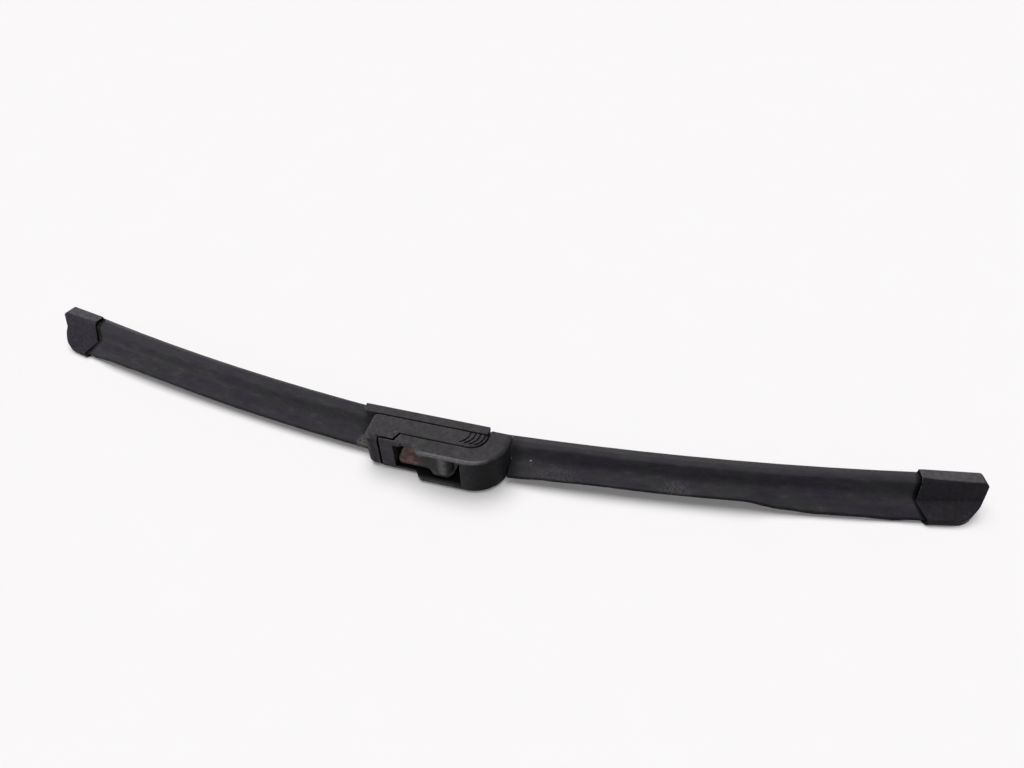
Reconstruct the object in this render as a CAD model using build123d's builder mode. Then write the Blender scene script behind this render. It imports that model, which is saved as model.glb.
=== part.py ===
from build123d import *
import os
from math import cos, degrees, radians, sin

# A flat wiper blade lying on its trailing side, as it comes to rest on a table, in millimetres.
# X runs along the blade, +Z is the side that faces the wind, and -Y is the side of the spoiler's
# ridge, where the wiper arm goes. The origin is on the table, below the middle of the blade's
# straight run under the connector.
# Sections are drawn in (u, m): u is the height above the rails towards the ridge, and m is the
# offset from the blade's middle plane towards the wind. Side views are drawn in (x, u).

# Bow of the blade, measured along the rails from the middle of the straight run
LEFT_REACH = 221.6
RIGHT_REACH = 232.3
BEND_LENGTH = 20.0
BEND_ANGLE = 4.0
LEFT_ARM_RADIUS = 1280.0
RIGHT_ARM_RADIUS = 1345.0

# Fits
SNUG_FIT = 0.1
SEAT_FIT = 0.2
FREE_FIT = 0.3

# Spring steel rails
RAIL_THICKNESS = 0.9
RAIL_WIDTH = 4.0
RAIL_GAP = 2.4
RAIL_SETBACK = 5.0

# Rubber element
HEAD_THICKNESS = 0.7
HEAD_WIDTH = 6.4
FLANGE_THICKNESS = 1.2
FLANGE_WIDTH = 6.8
NECK_WIDTH = 1.2
NECK_HEIGHT = 1.0
WEDGE_WIDTH = 5.2
WEDGE_SHOULDER = 0.8
WEDGE_HEIGHT = 1.9
LIP_ROOT_WIDTH = 1.5
LIP_TIP_WIDTH = 0.7
LIP_HEIGHT = 1.5
RUBBER_SETBACK = 2.2

# Pressed steel bracket, pin and bush
SHEET = 1.2
BRACKET_LEFT = 15.5
BRACKET_RIGHT = 13.0
PLATE_RIGHT = 17.0
CHEEK_HEIGHT = 14.4
CHEEK_ROUND = 3.0
LUG_HEIGHT = 17.2
LUG_WIDTH = 8.4
LUG_RUN = 2.8
CLAW_LENGTH = 7.0
CLAW_INSET = 1.0
CLAW_LIP = 1.2
PIN_PLACE = 6.8
PIN_HEIGHT = 13.4
PIN_DIAMETER = 5.0
BUSH_DIAMETER = 8.0

# Clips on the rails' ends
CLIP_SHEET = 0.6
CLIP_LENGTH = 6.0
CLIP_SETBACK = 6.5

# Spoiler
SPOILER_WALL = 1.2
SPOILER_CLAW = 1.4
SPOILER_CROWN = 2.2
FOOT_HEIGHT = 3.4
FOOT_OFFSET = 1.8
FIN_REACH = 11.9
FIN_TIP = 0.9
FIN_BACK = 4.0
FIN_SWEEP = 5.0
CROWN_ROUND = 2.4
SPOILER_SETBACK = 13.5
SPOILER_TRIM = 1.0

# Connector
HOUSING_FIT = 0.4
HOUSING_SKIN = 1.2
FINGER_THICKNESS = 1.6
FRONT_WALL = 1.8
END_WALL = 2.0
DECK_HEIGHT = 16.4
HOOD_HEIGHT = 20.2
HOOD_END = 34.0
HOOD_RADIUS = 16.0
DECK_END = 21.6
STEP_PLACE = 4.6
STEP_RUN = 2.6
STEP_ROUND = 2.5
WINDOW_LEFT = 15.5
WINDOW_RIGHT = 16.2
MOUTH_LEFT = 12.0
MOUTH_LOW = 13.2
MOUTH_WALL = 1.3
EDGE_ROUND = 2.2
SKIRT_LOW = 0.2
BASE_LEFT = 34.4
BASE_RIGHT = 23.4
BASE_TOP = 2.4
BASE_DEPTH = 4.5
BASE_GAP = 0.8
BASE_ROUND = 0.6
BASE_CHAMFER = 1.2
BRIDGE_LENGTH = 4.5
COVER_END = 29.4
COVER_GAP = 0.8
COVER_END_GAP = 1.0
COVER_WALL = 2.0
COVER_ROUND = 4.0
FINGER_CHAMFER = 0.4
FINGER_HEIGHT = 11.1
SHOULDER_HEIGHT = 14.8
SHOULDER_END = 15.4
SHOULDER_RUN = 1.6
NOSE_END = 24.0
NOSE_RADIUS = 7.2
GRIP_GROOVES = 4
GRIP_PITCH = 2.2
GRIP_WIDTH = 0.8
GRIP_DEPTH = 0.5
GRIP_FROM = -10.0
GRIP_SPAN = 75.0

# End caps
LEFT_CAP_LENGTH = 25.1
RIGHT_CAP_LENGTH = 28.6
CAP_WALL = 1.1
CAP_SKIN = 0.6
CAP_RIDGE_WALL = 1.1
CAP_FLOOR = 1.5
CAP_END_WALL = 1.6
CAP_ROUND = 1.5
CAP_SLANT = 4.0
CAP_SWEEP_SHARE = 0.65
CAP_SWEEP_RISE = 10.0
CAP_CHAMFER = 2.6
CAP_CHAMFER_RUN = 5.5
CAP_END_ROUND = 2.2
CAP_TAPER = 1.2
CAP_RAKE = 1.6

# Heights and offsets that follow from the sizes above
rail_face = RAIL_THICKNESS / 2
rail_inner = RAIL_GAP / 2
rail_outer = rail_inner + RAIL_WIDTH
head_low = rail_face + SNUG_FIT
head_top = head_low + HEAD_THICKNESS
flange_low = -head_low - FLANGE_THICKNESS
neck_low = flange_low - NECK_HEIGHT
shoulder_low = neck_low - WEDGE_SHOULDER
wedge_low = shoulder_low - WEDGE_HEIGHT
lip_low = wedge_low - LIP_HEIGHT
throat = FLANGE_WIDTH / 2 + FREE_FIT
leg_inner = rail_outer + SEAT_FIT
leg_outer = leg_inner + SHEET
plate_low = head_top + SNUG_FIT
plate_top = plate_low + SHEET
spoiler_half = rail_outer + SEAT_FIT + SPOILER_WALL
spoiler_low = -rail_face - SEAT_FIT - SPOILER_CLAW
housing_inner = max(leg_outer, spoiler_half) + HOUSING_FIT
recess_face = housing_inner + HOUSING_SKIN
finger_face = recess_face + SEAT_FIT
body_half = finger_face + FINGER_THICKNESS
base_low = BASE_TOP - BASE_DEPTH
body_low = BASE_TOP + BASE_GAP
fin_low = body_half - CAP_FLOOR - FREE_FIT
cap_lead = spoiler_half + FREE_FIT + CAP_WALL
cap_low = spoiler_low - FREE_FIT - CAP_SKIN
cap_ridge = FIN_REACH + FREE_FIT + CAP_RIDGE_WALL
tongue_end = COVER_END - COVER_WALL - FREE_FIT
tongue_top = DECK_HEIGHT - COVER_WALL - SEAT_FIT
skirt_start = BASE_RIGHT + SNUG_FIT
hole_radius = PIN_DIAMETER / 2 + SNUG_FIT
pin_end = leg_outer + HOUSING_FIT / 2

LEFT, RIGHT = -1, 1
REACH = {LEFT: LEFT_REACH, RIGHT: RIGHT_REACH}
ARM_RADIUS = {LEFT: LEFT_ARM_RADIUS, RIGHT: RIGHT_ARM_RADIUS}
CAP_LENGTH = {LEFT: LEFT_CAP_LENGTH, RIGHT: RIGHT_CAP_LENGTH}
spoiler_start = {LEFT: COVER_END + SNUG_FIT, RIGHT: HOOD_END + SNUG_FIT}
bend_end = min(spoiler_start.values()) - SPOILER_TRIM
straight_half = bend_end - BEND_LENGTH
bend_radius = BEND_LENGTH / radians(BEND_ANGLE)
bend_tip = (
    straight_half + bend_radius * sin(radians(BEND_ANGLE)),
    bend_radius * (1 - cos(radians(BEND_ANGLE))),
)


def arm_centre(side):
    """Gives the centre of one arm's bow, in x away from the middle and y."""
    return (
        bend_tip[0] - ARM_RADIUS[side] * sin(radians(BEND_ANGLE)),
        bend_tip[1] + ARM_RADIUS[side] * cos(radians(BEND_ANGLE)),
    )


def bow(side, distance):
    """Gives the point and the heading, in radians, of the rails on a side, at a distance."""
    if distance <= straight_half:
        return (distance, 0.0), 0.0
    if distance <= bend_end:
        heading = (distance - straight_half) / bend_radius
        x = straight_half + bend_radius * sin(heading)
        return (x, bend_radius * (1 - cos(heading))), heading
    heading = radians(BEND_ANGLE) + (distance - bend_end) / ARM_RADIUS[side]
    x, y = arm_centre(side)
    return (x + ARM_RADIUS[side] * sin(heading), y - ARM_RADIUS[side] * cos(heading)), heading


def section_plane(side, distance):
    """Gives the plane across the blade at a distance from the middle, with (u, m) as its axes."""
    (x, y), heading = bow(side, distance)
    ridge = (side * sin(heading), -cos(heading), 0)
    towards_left = (-cos(heading), -side * sin(heading), 0)
    return Plane((side * x, y, body_half), x_dir=ridge, z_dir=towards_left)


def side_plane(offset):
    """Gives a plane along the blade with (x, u) as its axes, at an offset m, facing down."""
    return Plane((0, 0, body_half + offset), x_dir=(1, 0, 0), z_dir=(0, 0, -1))


def cap_mouth(side):
    """Gives the plane across the blade at a cap's mouth, square to the cap's own middle."""
    half_length = CAP_LENGTH[side] / 2
    return section_plane(side, REACH[side] - half_length).offset(side * half_length)


def cap_side_plane(side):
    """Gives a plane along a cap, with its origin at the mouth and (outwards, u) as its axes."""
    mouth = cap_mouth(side)
    return Plane(mouth.origin, x_dir=mouth.z_dir * -side, z_dir=(0, 0, -side))


def cap_ridge_plane(side):
    """Gives a plane across the ridge of a cap, with its origin at the mouth and (outwards, m) as its axes."""
    mouth = cap_mouth(side)
    return Plane(mouth.origin, x_dir=mouth.z_dir * -side, z_dir=mouth.x_dir * side)


def mirrored(half):
    """Closes an outline of (u, m) points, given for one side of the middle plane."""
    return half + [(u, -m) for u, m in reversed(half)]


def along_arm(section, side, start, stop):
    """Carries a section along one arm of the bow."""
    x, y = arm_centre(side)
    axis = Axis((side * x, y, 0), (0, 0, 1))
    sweep_angle = side * degrees((stop - start) / ARM_RADIUS[side])
    revolve(section(section_plane(side, start)), axis=axis, revolution_arc=sweep_angle)


def along_blade(section, setback):
    """Carries a section along the whole bow, ending at a setback from each end of the blade."""
    extrude(section(section_plane(LEFT, straight_half)), amount=-2 * straight_half)
    for side in (LEFT, RIGHT):
        axis = Axis((side * straight_half, bend_radius, 0), (0, 0, 1))
        profile = section(section_plane(side, straight_half))
        revolve(profile, axis=axis, revolution_arc=side * BEND_ANGLE)
        along_arm(section, side, bend_end, REACH[side] - setback)


def finish(builder, name):
    """Labels a finished piece and writes its file."""
    builder.part.label = name
    export_step(builder.part, f"parts/{name}.step")


# Sections across the blade


def rail_section(middle):
    """Gives a function that draws one rail, at an offset from the middle plane."""

    def draw(plane):
        with BuildSketch(plane) as section:
            with Locations((0, middle)):
                Rectangle(RAIL_THICKNESS, RAIL_WIDTH)
        return section.sketch

    return draw


def rubber_section(plane):
    """Draws the rubber: head over the rails, web between them, flange, neck, wedge and lip."""
    half = [
        (head_top, HEAD_WIDTH / 2),
        (head_low, HEAD_WIDTH / 2),
        (head_low, rail_inner - SNUG_FIT),
        (-head_low, rail_inner - SNUG_FIT),
        (-head_low, FLANGE_WIDTH / 2),
        (flange_low, FLANGE_WIDTH / 2),
        (flange_low, NECK_WIDTH / 2),
        (neck_low, NECK_WIDTH / 2),
        (neck_low, WEDGE_WIDTH / 2),
        (shoulder_low, WEDGE_WIDTH / 2),
        (wedge_low, LIP_ROOT_WIDTH / 2),
        (lip_low, LIP_TIP_WIDTH / 2),
    ]
    with BuildSketch(plane) as section:
        with BuildLine():
            Polyline(mirrored(half), close=True)
        make_face()
    return section.sketch


def rounded(corners):
    """Draws a closed outline through corners, each given as a point and its radius."""
    FilletPolyline([at for at, _ in corners], radius=[radius for _, radius in corners], close=True)


spoiler_corners = [
    ((spoiler_low, spoiler_half), 0),
    ((SPOILER_CROWN, spoiler_half), CROWN_ROUND),
    ((FOOT_HEIGHT, -FOOT_OFFSET), FIN_SWEEP),
    ((FIN_REACH, FIN_TIP - fin_low), 0),
    ((FIN_REACH, -fin_low), 0),
    ((FIN_BACK, -spoiler_half), 0),
    ((spoiler_low, -spoiler_half), 0),
]


def spoiler_section(plane):
    """Draws the spoiler: claws, wall to the wind, shoulder and fin, round slots, head room and throat."""
    channel = [
        (head_top + SEAT_FIT, HEAD_WIDTH / 2 + SEAT_FIT),
        (rail_face + SEAT_FIT, HEAD_WIDTH / 2 + SEAT_FIT),
        (rail_face + SEAT_FIT, rail_outer + SEAT_FIT),
        (-rail_face - SEAT_FIT, rail_outer + SEAT_FIT),
        (-rail_face - SEAT_FIT, throat),
        (spoiler_low - FREE_FIT, throat),
    ]
    with BuildSketch(plane) as section:
        with BuildLine():
            rounded(spoiler_corners)
        make_face()
        with BuildLine():
            Polyline(mirrored(channel), close=True)
        make_face(mode=Mode.SUBTRACT)
    return section.sketch


def spoiler_room(plane):
    """Draws the room that a cap leaves for the spoiler's end."""
    with BuildSketch(plane) as section:
        with BuildLine():
            rounded(spoiler_corners)
        make_face()
        offset(amount=FREE_FIT, kind=Kind.INTERSECTION)
    return section.sketch


def clip_section(plane):
    """Draws the clip folded round both rails."""
    outer = leg_inner + CLIP_SHEET
    fold = -rail_face - SNUG_FIT
    half = [
        (plate_low + CLIP_SHEET, outer),
        (fold - CLIP_SHEET, outer),
        (fold - CLIP_SHEET, throat),
        (fold, throat),
        (fold, leg_inner),
        (plate_low, leg_inner),
    ]
    with BuildSketch(plane) as section:
        with BuildLine():
            Polyline(mirrored(half), close=True)
        make_face()
    return section.sketch


def cap_section(plane):
    """Draws a cap's outside: it follows the spoiler with a crease, and has a flat floor to lie on."""
    corners = [
        ((cap_low, cap_lead), 0),
        ((SPOILER_CROWN + CAP_SKIN, cap_lead), CROWN_ROUND),
        ((FOOT_HEIGHT + CAP_ROUND, -FOOT_OFFSET), CAP_ROUND / 2),
        ((cap_ridge, FIN_TIP - fin_low + FREE_FIT), CAP_ROUND),
        ((cap_ridge, -body_half), CAP_ROUND),
        ((FIN_BACK, -body_half), 0),
        ((cap_low, -cap_lead), 0),
    ]
    with BuildSketch(plane) as section:
        with BuildLine():
            rounded(corners)
        make_face()
    return section.sketch


def clip_room(plane):
    """Draws the room in a cap for the rails' ends with their clip, and the throat for the rubber."""
    half = [
        (plate_low + CLIP_SHEET + FREE_FIT, leg_inner + CLIP_SHEET + FREE_FIT),
        (-rail_face - SNUG_FIT - CLIP_SHEET - FREE_FIT, leg_inner + CLIP_SHEET + FREE_FIT),
        (-rail_face - SNUG_FIT - CLIP_SHEET - FREE_FIT, throat),
        (cap_low - FREE_FIT, throat),
    ]
    with BuildSketch(plane) as section:
        with BuildLine():
            Polyline(mirrored(half), close=True)
        make_face()
    return section.sketch


def end_cap(side):
    """Models a cap on one end: slanted mouth, swept and tapered end, and room for what it covers."""
    mouth = cap_mouth(side)
    length = CAP_LENGTH[side]
    low = cap_low - SNUG_FIT
    ridge = cap_ridge + SNUG_FIT
    sweep_run = CAP_SWEEP_SHARE * length
    corners = [
        ((CAP_SLANT, ridge), 0),
        ((0, FOOT_HEIGHT + CAP_ROUND), CAP_ROUND),
        ((0, low), 0),
        ((length - CAP_CHAMFER, low), CAP_ROUND),
        ((length, low + CAP_CHAMFER_RUN), CAP_ROUND),
    ]
    with BuildSketch(cap_side_plane(side)) as side_view:
        with BuildLine():
            centre = (length - sweep_run, ridge - CAP_SWEEP_RISE)
            sweep = EllipticalCenterArc(centre, sweep_run, CAP_SWEEP_RISE, arc_size=90)
            FilletPolyline(
                [sweep @ 1, *(at for at, _ in corners), sweep @ 0],
                radius=[radius for _, radius in corners],
            )
        make_face()
    floor = -body_half - SNUG_FIT
    lead = cap_lead + SNUG_FIT
    ends = [
        ((0, floor), 0),
        ((length, floor), CAP_END_ROUND / 2),
        ((length - CAP_RAKE, lead - CAP_TAPER), CAP_END_ROUND),
        ((0, lead), 0),
    ]
    with BuildSketch(cap_ridge_plane(side)) as ridge_view:
        with BuildLine():
            rounded(ends)
        make_face()
    extrude(cap_section(mouth), amount=2 * length, both=True)
    extrude(side_view.sketch, amount=2 * body_half, both=True, mode=Mode.INTERSECT)
    extrude(ridge_view.sketch, amount=2 * length, both=True, mode=Mode.INTERSECT)
    spoiler_depth = length - SPOILER_SETBACK + FREE_FIT
    extrude(spoiler_room(mouth), amount=-side * spoiler_depth, mode=Mode.SUBTRACT)
    extrude(clip_room(mouth), amount=-side * (length - CAP_END_WALL), mode=Mode.SUBTRACT)


os.makedirs("parts", exist_ok=True)

# Spring rails
rail_middle = rail_inner + RAIL_WIDTH / 2
with BuildPart() as flexor_rail_leading:
    along_blade(rail_section(rail_middle), RAIL_SETBACK)
finish(flexor_rail_leading, "flexor_rail_leading")

with BuildPart() as flexor_rail_trailing:
    along_blade(rail_section(-rail_middle), RAIL_SETBACK)
finish(flexor_rail_trailing, "flexor_rail_trailing")

# Rubber element
with BuildPart() as wiper_rubber:
    along_blade(rubber_section, RUBBER_SETBACK)
finish(wiper_rubber, "wiper_rubber")

# Spoilers, trimmed along the connector's ends
with BuildPart() as spoiler_left:
    along_arm(spoiler_section, LEFT, bend_end, LEFT_REACH - SPOILER_SETBACK)
    split(bisect_by=Plane.YZ.offset(-spoiler_start[LEFT]), keep=Keep.BOTTOM)
finish(spoiler_left, "spoiler_left")

with BuildPart() as spoiler_right:
    along_arm(spoiler_section, RIGHT, bend_end, RIGHT_REACH - SPOILER_SETBACK)
    split(bisect_by=Plane.YZ.offset(spoiler_start[RIGHT]), keep=Keep.TOP)
finish(spoiler_right, "spoiler_right")

# Clips on the rails' ends
with BuildPart() as rail_clip_left:
    along_arm(clip_section, LEFT, LEFT_REACH - CLIP_SETBACK - CLIP_LENGTH, LEFT_REACH - CLIP_SETBACK)
finish(rail_clip_left, "rail_clip_left")

with BuildPart() as rail_clip_right:
    along_arm(clip_section, RIGHT, RIGHT_REACH - CLIP_SETBACK - CLIP_LENGTH, RIGHT_REACH - CLIP_SETBACK)
finish(rail_clip_right, "rail_clip_right")

# End caps
with BuildPart() as end_cap_left:
    end_cap(LEFT)
finish(end_cap_left, "end_cap_left")

with BuildPart() as end_cap_right:
    end_cap(RIGHT)
finish(end_cap_right, "end_cap_right")

# Steel bracket: plate over the rails, cheeks with a lug for the pin, and claws folded under the rails
with BuildPart() as connector_bracket:
    with BuildSketch(side_plane(leg_outer)):
        with BuildLine():
            Polyline(
                (-BRACKET_LEFT, plate_low),
                (-BRACKET_LEFT, plate_top),
                (PLATE_RIGHT, plate_top),
                (PLATE_RIGHT, plate_low),
                close=True,
            )
        make_face()
    extrude(amount=2 * leg_outer)
    with BuildSketch(side_plane(leg_outer), side_plane(-leg_inner)):
        with BuildLine():
            rounded(
                [
                    ((-BRACKET_LEFT, plate_low), 0),
                    ((-BRACKET_LEFT, CHEEK_HEIGHT), CHEEK_ROUND),
                    ((PIN_PLACE - LUG_WIDTH / 2 - LUG_RUN, CHEEK_HEIGHT), CHEEK_ROUND),
                    ((PIN_PLACE - LUG_WIDTH / 2, LUG_HEIGHT), CHEEK_ROUND),
                    ((PIN_PLACE + LUG_WIDTH / 2, LUG_HEIGHT), CHEEK_ROUND),
                    ((BRACKET_RIGHT, plate_low), 0),
                ]
            )
        make_face()
        with Locations((PIN_PLACE, PIN_HEIGHT)):
            Circle(hole_radius, mode=Mode.SUBTRACT)
    extrude(amount=SHEET)
    claw = [
        (plate_top, leg_outer),
        (-head_low - CLAW_LIP, leg_outer),
        (-head_low - CLAW_LIP, throat),
        (-head_low, throat),
        (-head_low, leg_inner),
        (plate_top, leg_inner),
    ]
    for left_edge in (CLAW_INSET - BRACKET_LEFT, BRACKET_RIGHT - CLAW_INSET - CLAW_LENGTH):
        with BuildSketch(section_plane(RIGHT, 0).offset(-left_edge)):
            for flip in (1, -1):
                with BuildLine():
                    Polyline([(u, flip * m) for u, m in claw], close=True)
                make_face()
        extrude(amount=-CLAW_LENGTH)
finish(connector_bracket, "connector_bracket")

# Pivot pin, riveted across the bracket's cheeks, and the bush on it
with BuildPart() as pivot_pin:
    with BuildSketch(side_plane(pin_end)):
        with Locations((PIN_PLACE, PIN_HEIGHT)):
            Circle(PIN_DIAMETER / 2)
    extrude(amount=2 * pin_end)
finish(pivot_pin, "pivot_pin")

with BuildPart() as pivot_bush:
    with BuildSketch(side_plane(leg_inner - SEAT_FIT)):
        with Locations((PIN_PLACE, PIN_HEIGHT)):
            Circle(BUSH_DIAMETER / 2)
            Circle(hole_radius, mode=Mode.SUBTRACT)
    extrude(amount=2 * (leg_inner - SEAT_FIT))
finish(pivot_bush, "pivot_bush")

# Moulded base: a bar along each rail, joined by a bridge at each end
with BuildPart() as connector_base:
    with BuildSketch(side_plane(body_half), side_plane(-housing_inner)):
        with BuildLine():
            Polyline(
                (-BASE_LEFT, base_low),
                (-BASE_LEFT, BASE_TOP - BASE_CHAMFER),
                (BASE_CHAMFER - BASE_LEFT, BASE_TOP),
                (BASE_RIGHT, BASE_TOP),
                (BASE_RIGHT, base_low),
                close=True,
            )
        make_face()
    extrude(amount=body_half - housing_inner)
    fillet(connector_base.edges().filter_by(Axis.X), radius=BASE_ROUND)
    with BuildSketch(side_plane(housing_inner)):
        for left_edge in (-tongue_end, BASE_RIGHT - BRIDGE_LENGTH):
            with Locations((left_edge, plate_low)):
                Rectangle(BRIDGE_LENGTH, SHEET, align=(Align.MIN, Align.MIN))
    extrude(amount=2 * housing_inner)
finish(connector_base, "connector_base")


def finger_corners(start, low, grow):
    """Gives the outline of a cover's side finger in (x, u), grown by a gap on its free sides."""
    return [
        ((start, low), 0),
        ((NOSE_END + grow, low), 0),
        ((NOSE_END + grow, FINGER_HEIGHT + grow), NOSE_RADIUS + grow),
        ((SHOULDER_RUN - SHOULDER_END + grow, FINGER_HEIGHT + grow), 0),
        ((grow - SHOULDER_END, SHOULDER_HEIGHT + grow), 0),
        ((start, SHOULDER_HEIGHT + grow), 0),
    ]


# Moulded housing: low deck, open window that is wider on its wind side, raised hood, and a tongue
# under the cover
with BuildPart() as connector_housing:
    with BuildSketch(side_plane(body_half)):
        with BuildLine():
            rounded(
                [
                    ((-DECK_END, body_low), 0),
                    ((-DECK_END, DECK_HEIGHT), 0),
                    ((-STEP_PLACE - STEP_RUN / 2, DECK_HEIGHT), STEP_ROUND),
                    ((-STEP_PLACE + STEP_RUN / 2, HOOD_HEIGHT), STEP_ROUND),
                    ((HOOD_END, HOOD_HEIGHT), HOOD_RADIUS),
                    ((HOOD_END, SKIRT_LOW), 0),
                    ((skirt_start, SKIRT_LOW), 0),
                    ((skirt_start, body_low), 0),
                ]
            )
        make_face()
    extrude(amount=2 * body_half)
    rim = connector_housing.faces().filter_by(Axis.Z).edges()
    fillet(rim.filter_by(lambda edge: -edge.center().Y > SHOULDER_HEIGHT + COVER_GAP), radius=EDGE_ROUND)
    with BuildSketch(side_plane(recess_face)):
        with BuildLine():
            Polyline(
                (-tongue_end, plate_top + SEAT_FIT),
                (-tongue_end, tongue_top),
                (-DECK_END, tongue_top),
                (-DECK_END, plate_top + SEAT_FIT),
                close=True,
            )
        make_face()
    extrude(amount=2 * recess_face)
    with BuildSketch(side_plane(body_half), side_plane(-recess_face)):
        with BuildLine():
            rounded(finger_corners(-tongue_end, base_low, COVER_GAP))
        make_face()
    extrude(amount=body_half - recess_face, mode=Mode.SUBTRACT)
    with BuildSketch(side_plane(housing_inner)):
        with BuildLine():
            rounded(
                [
                    ((END_WALL - tongue_end, base_low), 0),
                    ((END_WALL - tongue_end, tongue_top - FRONT_WALL), 0),
                    ((-WINDOW_LEFT, tongue_top - FRONT_WALL), 0),
                    ((-WINDOW_LEFT, HOOD_HEIGHT - FRONT_WALL), 0),
                    ((HOOD_END - END_WALL, HOOD_HEIGHT - FRONT_WALL), HOOD_RADIUS - END_WALL),
                    ((HOOD_END - END_WALL, base_low), 0),
                ]
            )
        make_face()
        with BuildLine():
            Polyline(
                (-WINDOW_LEFT, MOUTH_LOW),
                (-WINDOW_LEFT, HOOD_HEIGHT),
                (WINDOW_RIGHT, HOOD_HEIGHT),
                (WINDOW_RIGHT, MOUTH_LOW),
                close=True,
            )
        make_face()
        with BuildLine():
            Polyline((0, base_low), (0, body_low), (HOOD_END, body_low), (HOOD_END, base_low), close=True)
        make_face()
    extrude(amount=2 * housing_inner, mode=Mode.SUBTRACT)
    with BuildSketch(side_plane(body_half - MOUTH_WALL)):
        with BuildLine():
            Polyline(
                (-MOUTH_LEFT, MOUTH_LOW),
                (-MOUTH_LEFT, HOOD_HEIGHT),
                (WINDOW_RIGHT, HOOD_HEIGHT),
                (WINDOW_RIGHT, MOUTH_LOW),
                close=True,
            )
        make_face()
    extrude(amount=body_half - MOUTH_WALL, mode=Mode.SUBTRACT)
finish(connector_housing, "connector_housing")

# Moulded cover: an end block over the housing's tongue, with a grooved finger along each side
with BuildPart() as connector_cover:
    with BuildSketch(side_plane(body_half)):
        with BuildLine():
            rounded(
                [
                    ((-COVER_END, body_low), 0),
                    ((-COVER_END, DECK_HEIGHT), COVER_ROUND),
                    ((-DECK_END - COVER_END_GAP, DECK_HEIGHT), 0),
                    ((-DECK_END - COVER_END_GAP, body_low), 0),
                ]
            )
        make_face()
    extrude(amount=2 * body_half)
    rim = connector_cover.faces().filter_by(Axis.Z).edges()
    fillet(rim.group_by(Axis.X)[0], radius=COVER_ROUND - COVER_GAP)
    with BuildSketch(side_plane(body_half), side_plane(-finger_face)):
        with BuildLine():
            rounded(finger_corners(-DECK_END - COVER_WALL, body_low, 0))
        make_face()
    extrude(amount=FINGER_THICKNESS)
    side_faces = connector_cover.faces().filter_by(Axis.Z).group_by(Axis.Z)
    finger_edges = (side_faces[0] + side_faces[-1]).edges()
    chamfer(finger_edges.filter_by(lambda edge: edge.center().X > 0), length=FINGER_CHAMFER)
    with BuildSketch(side_plane(finger_face)):
        with BuildLine():
            Polyline(
                (COVER_WALL - COVER_END, base_low),
                (COVER_WALL - COVER_END, DECK_HEIGHT - COVER_WALL),
                (-DECK_END, DECK_HEIGHT - COVER_WALL),
                (-DECK_END, base_low),
                close=True,
            )
        make_face()
    extrude(amount=2 * finger_face, mode=Mode.SUBTRACT)
    for groove in range(GRIP_GROOVES):
        centre = (NOSE_END - NOSE_RADIUS - groove * GRIP_PITCH, FINGER_HEIGHT - NOSE_RADIUS)
        with BuildSketch(side_plane(body_half), side_plane(GRIP_DEPTH - body_half)):
            with BuildLine():
                CenterArc(centre, NOSE_RADIUS - GRIP_PITCH / 2, GRIP_FROM, GRIP_SPAN)
            trace(line_width=GRIP_WIDTH)
        extrude(amount=GRIP_DEPTH, mode=Mode.SUBTRACT)
finish(connector_cover, "connector_cover")
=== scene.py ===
"""Looks of a flat wiper blade: its finishes, its worn spoilers and end caps, and the table it lies on."""

import logging
import math
from dataclasses import dataclass
from enum import Enum
from typing import Any, Optional, Union

import bmesh
import bpy
from mathutils import Matrix, Vector


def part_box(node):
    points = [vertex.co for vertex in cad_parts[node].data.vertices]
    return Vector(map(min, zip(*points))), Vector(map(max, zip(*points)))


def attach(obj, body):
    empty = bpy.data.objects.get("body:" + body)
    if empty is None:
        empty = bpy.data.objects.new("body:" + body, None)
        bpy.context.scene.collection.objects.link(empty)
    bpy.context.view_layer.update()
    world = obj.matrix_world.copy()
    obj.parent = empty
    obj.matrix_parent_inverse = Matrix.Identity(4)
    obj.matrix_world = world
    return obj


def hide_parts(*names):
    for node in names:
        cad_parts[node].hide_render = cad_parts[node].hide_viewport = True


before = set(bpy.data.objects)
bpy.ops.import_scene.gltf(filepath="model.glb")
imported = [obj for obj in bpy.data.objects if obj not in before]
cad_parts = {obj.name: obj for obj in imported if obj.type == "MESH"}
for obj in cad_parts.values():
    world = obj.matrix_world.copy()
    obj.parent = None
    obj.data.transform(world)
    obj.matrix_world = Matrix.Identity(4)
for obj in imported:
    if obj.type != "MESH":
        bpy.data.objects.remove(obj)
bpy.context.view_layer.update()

LOG = logging.getLogger("wiper_blade")
MM = 0.001
BODY = "root"
MERGE_DISTANCE = 0.001 * MM
SMOOTH_ANGLE = math.radians(38)
EDGE_SAMPLES = 6
GAP_SAMPLES = 8
NOISE_MEAN = 0.5
CROWN_WAY = (0.0, 0.0, 1.0)

# Farther out than any piece reaches, for a mask that has no start or no end
BEYOND = 1.0

# Numbers of the Mix node's colour sockets, because their names occur more than once
MIX_SHARE, MIX_FIRST, MIX_SECOND, MIX_RESULT = 0, 6, 7, 2

Colour = tuple[float, float, float]
Triple = tuple[float, float, float]
Span = tuple[float, float]
Feed = Union["Value", bpy.types.NodeSocket, float, tuple]


class Side(Enum):
    """The blade's two arms, by the sign of their x."""

    LEFT = -1
    RIGHT = 1


@dataclass(frozen=True)
class Pattern:
    """A soft noise, by its grain size along each axis and its detail."""

    size: Triple
    detail: float = 2.0

    @classmethod
    def even(cls, size: float, detail: float = 2.0) -> "Pattern":
        """Gives a pattern with one grain size along every axis."""
        return cls((size, size, size), detail)


@dataclass(frozen=True)
class Specks:
    """Round specks, by the distance between places, the share of places in use and the largest radius."""

    spacing: float
    share: float
    radius: float


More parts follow.
